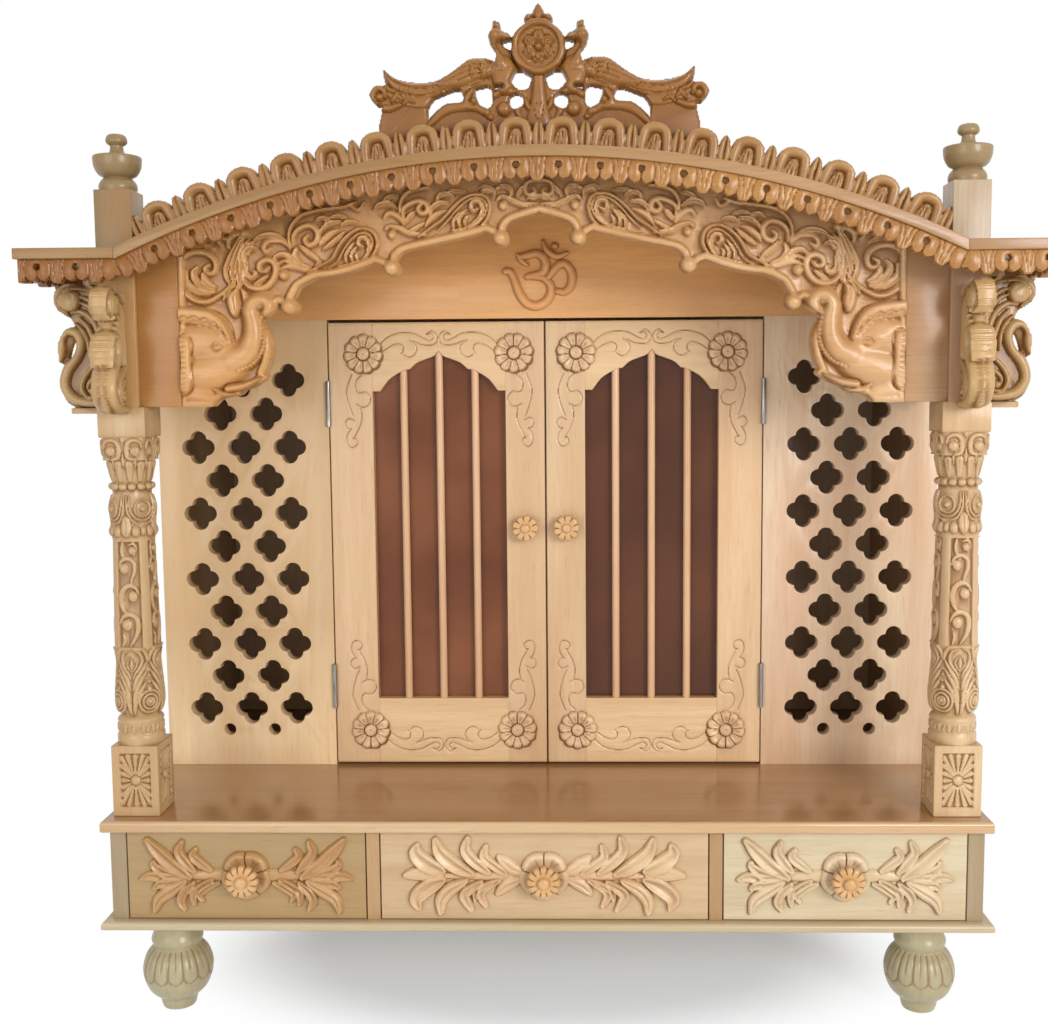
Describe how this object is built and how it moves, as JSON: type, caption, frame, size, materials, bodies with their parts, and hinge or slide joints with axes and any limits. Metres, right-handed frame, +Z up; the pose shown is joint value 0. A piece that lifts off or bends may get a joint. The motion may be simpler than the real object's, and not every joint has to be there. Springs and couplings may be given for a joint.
{
  "type": "pooja mandir",
  "caption": "Carved wooden home temple with a curved roof, two columns, glazed doors, pierced panels and drawers.",
  "frame": {"origin": "on the floor, under the middle of the box that holds the whole temple", "axes": "+Z up, +X to the right as seen from the front, +Y to the back"},
  "size_m": [1.22, 0.61, 1.269],
  "materials": {
    "carved_teak": "satin",
    "board_teak": "satin",
    "door_glass": "gloss",
    "hinge_steel": "satin"
  },
  "bodies": {
    "root": {"apron_ends": "carved_teak", "arch_apron": "carved_teak", "base_back": "board_teak", "base_dividers": "board_teak", "base_side_left": "board_teak", "base_side_right": "board_teak", "bottom_board": "carved_teak", "brackets_front": "carved_teak", "brackets_side": "carved_teak", "cabinet_back": "board_teak", "cabinet_side_left": "board_teak", "cabinet_side_right": "board_teak", "column_left": "carved_teak", "column_right": "carved_teak", "door_hinges": "hinge_steel", "feet_back": "carved_teak", "feet_front": "carved_teak", "finials": "carved_teak", "jali_left": "board_teak", "jali_right": "board_teak", "leaf_crest": "carved_teak", "lintel_board": "board_teak", "om_carving": "carved_teak", "peacock_pediment": "carved_teak", "roof_arch": "board_teak", "roof_wing_left": "board_teak", "roof_wing_right": "board_teak", "shelf_slab": "board_teak", "side_beams": "board_teak", "upper_post_left": "board_teak", "upper_post_right": "board_teak", "valance_front": "carved_teak", "valance_sides": "carved_teak"},
    "door_left": {"door_left_bars": "board_teak", "door_left_frame": "board_teak", "door_left_glass": "door_glass", "door_left_knob": "carved_teak"},
    "door_right": {"door_right_bars": "board_teak", "door_right_frame": "board_teak", "door_right_glass": "door_glass", "door_right_knob": "carved_teak"},
    "drawer_left": {"drawer_left_box": "board_teak", "drawer_left_front": "board_teak", "drawer_left_knob": "carved_teak"},
    "drawer_centre": {"drawer_centre_box": "board_teak", "drawer_centre_front": "board_teak", "drawer_centre_knob": "carved_teak"},
    "drawer_right": {"drawer_right_box": "board_teak", "drawer_right_front": "board_teak", "drawer_right_knob": "carved_teak"}
  },
  "joints": [
    {"name": "door_left_hinge", "type": "hinge", "parent": "root", "child": "door_left", "pos_m": [-0.30225, -0.0218, 0.5885], "axis": [0, 0, -1], "range_deg": [0, 90]},
    {"name": "door_right_hinge", "type": "hinge", "parent": "root", "child": "door_right", "pos_m": [0.30225, -0.0218, 0.5885], "axis": [0, 0, 1], "range_deg": [0, 90]},
    {"name": "drawer_left_slide", "type": "slide", "parent": "root", "child": "drawer_left", "axis": [0, -1, 0], "range_m": [0, 0.28]},
    {"name": "drawer_centre_slide", "type": "slide", "parent": "root", "child": "drawer_centre", "axis": [0, -1, 0], "range_m": [0, 0.28]},
    {"name": "drawer_right_slide", "type": "slide", "parent": "root", "child": "drawer_right", "axis": [0, -1, 0], "range_m": [0, 0.28]}
  ]
}
